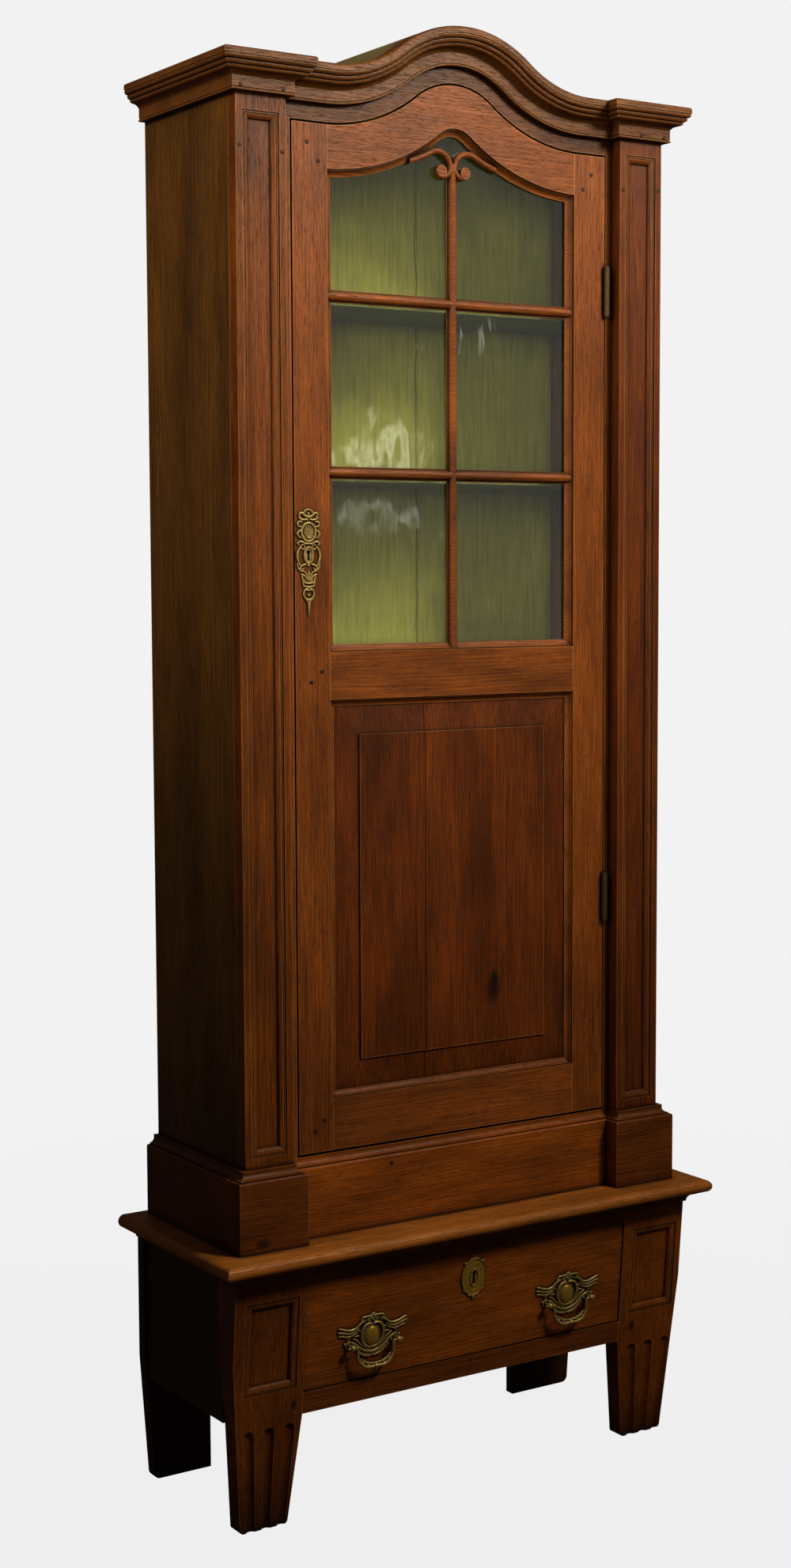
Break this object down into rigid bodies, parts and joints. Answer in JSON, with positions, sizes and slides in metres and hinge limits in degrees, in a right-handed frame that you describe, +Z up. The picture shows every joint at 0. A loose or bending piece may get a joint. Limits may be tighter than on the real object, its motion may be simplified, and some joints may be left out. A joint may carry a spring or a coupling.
{
  "type": "storage cabinet",
  "caption": "Tall narrow oak cabinet with an arched glazed door and painted shelves, on a drawer stand with fluted tapered legs and brass fittings.",
  "frame": {"origin": "on the floor, under the middle of the whole piece", "axes": "+Z up, the front looks along -Y, the hinge side of the door is at +X"},
  "size_m": [0.88, 0.345, 2.169],
  "materials": {
    "oak": "waxed, red-brown, open grain",
    "dark_oak": "old dark surface, dull",
    "plain_oak": "unfinished, dry",
    "green_painted_wood": "worn matt olive green paint",
    "old_brass": "cast, dark in the hollows and rubbed bright on the edges",
    "iron": "dark forged iron",
    "clear_glass": "thin clear old glass"
  },
  "bodies": {
    "case": {"stand_top": "oak", "bed_moulding": "oak", "front_leg_left": "oak", "front_leg_right": "oak", "rear_leg_left": "dark_oak", "rear_leg_right": "dark_oak", "side_panel_left": "dark_oak", "side_panel_right": "dark_oak", "back_rail": "dark_oak", "drawer_rail": "oak", "apron": "oak", "drawer_runners": "plain_oak", "side_board_left": "dark_oak", "side_board_right": "dark_oak", "back_boards": "green_painted_wood", "carcase_bottom": "green_painted_wood", "shelf_lower": "green_painted_wood", "shelf_middle": "green_painted_wood", "shelf_upper": "green_painted_wood", "frame_stile_left": "oak", "frame_stile_right": "oak", "frame_head": "oak", "pilaster_left": "oak", "pilaster_right": "oak", "plinth_block_left": "oak", "plinth_block_right": "oak", "plinth_front": "oak", "roof": "dark_oak", "capital_left": "oak", "capital_right": "oak", "cornice_arch": "oak", "hinge_frame_leaves": "old_brass"},
    "drawer": {"drawer_front": "oak", "drawer_side_left": "plain_oak", "drawer_side_right": "plain_oak", "drawer_back": "plain_oak", "drawer_bottom": "plain_oak", "drawer_escutcheon": "old_brass", "drawer_lock": "iron", "handle_plate_left": "old_brass", "handle_plate_right": "old_brass", "handle_posts": "old_brass"},
    "drawer_bolt": {"drawer_bolt": "iron"},
    "bail_left": {"bail_left": "old_brass"},
    "bail_right": {"bail_right": "old_brass"},
    "door": {"door_stile_left": "oak", "door_stile_right": "oak", "door_top_rail": "oak", "door_mid_rail": "oak", "door_bottom_rail": "oak", "door_panel": "oak", "glazing_bars": "oak", "glazing_scrolls": "oak", "glass_moulding": "oak", "panel_moulding": "oak", "glass_panes": "clear_glass", "door_escutcheon": "old_brass", "door_lock": "iron", "hinge_door_leaves": "old_brass"},
    "door_bolt": {"door_bolt": "iron"}
  },
  "joints": [
    {"name": "door_hinge", "type": "hinge", "parent": "case", "child": "door", "pos_m": [0.283, -0.0913, 1.34], "axis": [0, 0, 1], "range_deg": [0, 110]},
    {"name": "drawer_slide", "type": "slide", "parent": "case", "child": "drawer", "axis": [0, -1, 0], "range_m": [0, 0.17]},
    {"name": "bail_left_swing", "type": "hinge", "parent": "drawer", "child": "bail_left", "pos_m": [-0.175, -0.13612, 0.25299], "axis": [-1, 0, 0], "range_deg": [0, 80]},
    {"name": "bail_right_swing", "type": "hinge", "parent": "drawer", "child": "bail_right", "pos_m": [0.184, -0.13612, 0.25299], "axis": [-1, 0, 0], "range_deg": [0, 80]},
    {"name": "door_bolt_slide", "type": "slide", "parent": "door", "child": "door_bolt", "axis": [-1, 0, 0], "range_m": [0, 0.011]},
    {"name": "drawer_bolt_slide", "type": "slide", "parent": "drawer", "child": "drawer_bolt", "axis": [0, 0, 1], "range_m": [0, 0.008]}
  ]
}
